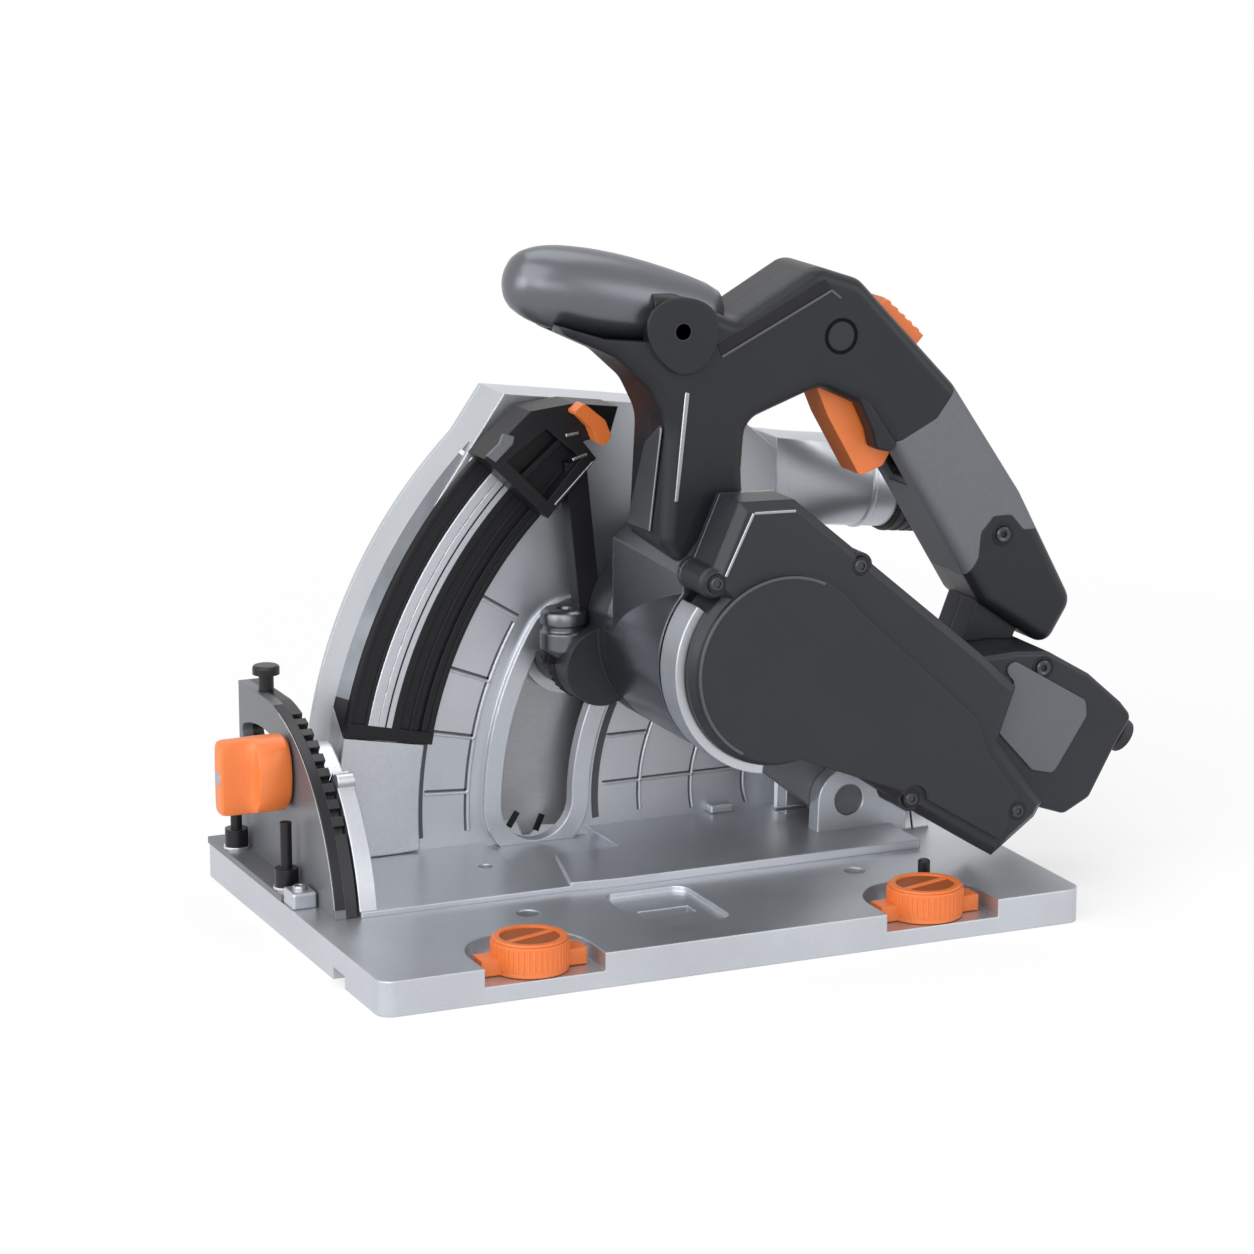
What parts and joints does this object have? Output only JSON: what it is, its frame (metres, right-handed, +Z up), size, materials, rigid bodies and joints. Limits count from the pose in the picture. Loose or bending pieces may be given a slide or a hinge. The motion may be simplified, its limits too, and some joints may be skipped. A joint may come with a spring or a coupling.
{
  "type": "plunge circular saw",
  "caption": "Corded plunge circular saw: cast guard and motor unit on a flat sole plate with rail groove, tilting for bevel cuts, with rear grip, front knob grip, depth stop and dust outlet.",
  "frame": {"origin": "middle of the sole plate's underside, on the surface that the saw slides on", "axes": "+X to the rear (the saw cuts towards -X), +Y from the motor side to the blade side, +Z up"},
  "size_m": [0.3679, 0.2, 0.2641],
  "materials": {
    "cast_aluminium": "satin, fine cast grain",
    "machined_aluminium": "machined",
    "dark_aluminium": "dark anodised",
    "steel": "ground",
    "bright_steel": "polished",
    "black_steel": "black oxide",
    "blade_steel": "ground",
    "charcoal_plastic": "fine matt texture",
    "grey_plastic": "fine matt texture",
    "silver_plastic": "satin",
    "grip_rubber": "soft matt",
    "black_rubber": "soft matt",
    "orange_plastic": "satin",
    "bronze": "sintered",
    "copper": "enamelled wire",
    "core_steel": "stacked sheet",
    "carbon": "matt"
  },
  "bodies": {
    "base": {"base_plate": "cast_aluminium", "base_pin": "steel", "front_quadrant": "dark_aluminium", "quadrant_studs": "black_steel", "quadrant_washers": "bright_steel", "rear_quadrant": "cast_aluminium", "rear_quadrant_screws": "black_steel"},
    "rail_cam_front": {"rail_cam_front": "orange_plastic"},
    "rail_cam_rear": {"rail_cam_rear": "orange_plastic"},
    "bevel_stop_pin": {"bevel_stop_pin": "black_steel"},
    "tilt_unit": {"tilt_base": "cast_aluminium", "bevel_bolts": "steel", "guard_housing": "cast_aluminium", "guard_cover": "cast_aluminium", "guard_cover_screws": "black_steel", "depth_track": "charcoal_plastic", "depth_scale": "bright_steel", "pivot_pin": "steel", "plunge_spring": "steel", "dust_port": "cast_aluminium", "dust_sleeve": "black_rubber"},
    "bevel_knob": {"bevel_knob": "orange_plastic"},
    "plunge_unit": {"plunge_arm": "cast_aluminium", "pivot_bushes": "bronze", "gear_case": "cast_aluminium", "ball_bearings": "steel", "bearing_plate": "machined_aluminium", "field_stack": "core_steel", "field_coils": "copper", "brush_holders": "charcoal_plastic", "carbon_brushes": "carbon", "motor_housing": "charcoal_plastic", "side_cover": "charcoal_plastic", "cover_screws": "black_steel", "motor_ring": "bright_steel", "rear_housing": "charcoal_plastic", "rear_panel": "grey_plastic", "cable_gland": "black_rubber", "control_module": "grey_plastic", "handle_near": "charcoal_plastic", "handle_far": "charcoal_plastic", "soft_grip": "grip_rubber", "front_handle": "silver_plastic", "front_handle_bolt": "steel", "trigger_pin": "black_steel", "switch_module": "charcoal_plastic", "depth_block": "charcoal_plastic"},
    "arbor": {"arbor_shaft": "steel", "arbor_gear": "steel", "blade_flanges": "steel", "blade_bolt": "black_steel", "saw_blade": "blade_steel"},
    "idler": {"idler_shaft": "steel"},
    "rotor": {"motor_shaft": "steel", "cooling_fan": "grey_plastic", "armature": "core_steel", "commutator": "copper"},
    "trigger": {"trigger": "orange_plastic"},
    "lockoff_button": {"lockoff_button": "orange_plastic"},
    "depth_lever": {"depth_lever": "orange_plastic"}
  },
  "joints": [
    {"name": "bevel_tilt", "type": "hinge", "parent": "base", "child": "tilt_unit", "pos_m": [0, 0.059, 0], "axis": [-1, 0, 0], "range_deg": [0, 45]},
    {"name": "plunge", "type": "hinge", "parent": "tilt_unit", "child": "plunge_unit", "pos_m": [0.094, 0.014, 0.029], "axis": [0, -1, 0], "range_deg": [0, 31], "stiffness_Nm_per_rad": 3, "springref_deg": -63.03, "deforming": ["plunge_spring"]},
    {"name": "arbor_spin", "type": "hinge", "parent": "plunge_unit", "child": "arbor", "pos_m": [-0.00661, 0.04, 0.09065], "axis": [0, -1, 0], "continuous": true},
    {"name": "idler_spin", "type": "hinge", "parent": "plunge_unit", "child": "idler", "pos_m": [0.01328, 0.018, 0.09561], "axis": [0, -1, 0], "continuous": true},
    {"name": "rotor_spin", "type": "hinge", "parent": "plunge_unit", "child": "rotor", "pos_m": [0.03307, -0.02, 0.10401], "axis": [0, -1, 0], "continuous": true},
    {"name": "trigger_pull", "type": "hinge", "parent": "plunge_unit", "child": "trigger", "pos_m": [0.07, -0.018, 0.225], "axis": [0, -1, 0], "range_deg": [0, 8], "stiffness_Nm_per_rad": 2, "springref_deg": -5.73},
    {"name": "lockoff_press", "type": "slide", "parent": "plunge_unit", "child": "lockoff_button", "axis": [-0.682, 0, -0.7314], "range_m": [0, 0.003], "stiffness_N_per_m": 900, "springref_m": -0.002},
    {"name": "depth_lever_turn", "type": "hinge", "parent": "plunge_unit", "child": "depth_lever", "pos_m": [-0.00899, 0.02, 0.18819], "axis": [0, -1, 0], "range_deg": [0, 40]},
    {"name": "bevel_knob_turn", "type": "hinge", "parent": "tilt_unit", "child": "bevel_knob", "pos_m": [-0.144, 0.02955, 0.05907], "axis": [-1, 0, 0], "range_deg": [0, 180]},
    {"name": "bevel_pin_lift", "type": "slide", "parent": "base", "child": "bevel_stop_pin", "axis": [0, 0, 1], "range_m": [0, 0.006], "stiffness_N_per_m": 800, "springref_m": -0.003},
    {"name": "rail_cam_front_turn", "type": "hinge", "parent": "base", "child": "rail_cam_front", "pos_m": [-0.0805, -0.085, 0.0065], "axis": [0, 0, -1], "range_deg": [0, 90]},
    {"name": "rail_cam_rear_turn", "type": "hinge", "parent": "base", "child": "rail_cam_rear", "pos_m": [0.084, -0.085, 0.0065], "axis": [0, 0, -1], "range_deg": [0, 90]}
  ],
  "couplings": [
    {"joint": "idler_spin", "follows": "arbor_spin", "ratio": -1.5625},
    {"joint": "rotor_spin", "follows": "arbor_spin", "ratio": 3.6058}
  ]
}
